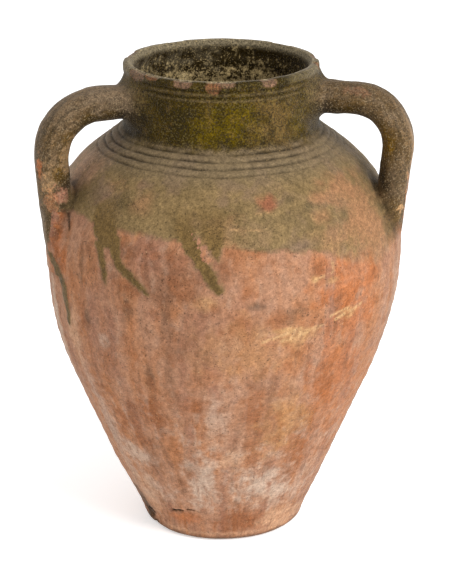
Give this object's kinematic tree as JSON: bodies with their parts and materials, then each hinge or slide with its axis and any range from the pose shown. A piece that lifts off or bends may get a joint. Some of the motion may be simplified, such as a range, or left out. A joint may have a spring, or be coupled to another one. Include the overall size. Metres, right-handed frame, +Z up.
{
  "type": "olive jar",
  "caption": "Two-handled earthenware storage jar with a short wide neck, a swelling shoulder and a tapered foot, glazed in olive over the upper part.",
  "frame": {"origin": "centre of the foot, on the surface that the jar stands on", "axes": "+Z up along the jar's axis, X across the two handles, -Y the side that the picture shows"},
  "size_m": [0.3408, 0.328, 0.445],
  "materials": {
    "terracotta": "matte, weathered",
    "olive_glaze": "worn satin glaze"
  },
  "bodies": {
    "root": {"base_slab": "terracotta", "lower_wall": "terracotta", "belly_wall": "terracotta", "floor_seam_coil": "terracotta", "lower_seam_coil": "terracotta", "belly_seam_coil": "terracotta", "shoulder_wall": "olive_glaze", "neck_collar": "olive_glaze", "left_handle": "olive_glaze", "right_handle": "olive_glaze", "left_upper_luting": "olive_glaze", "left_lower_luting": "olive_glaze", "right_upper_luting": "olive_glaze", "right_lower_luting": "olive_glaze"}
  },
  "joints": []
}
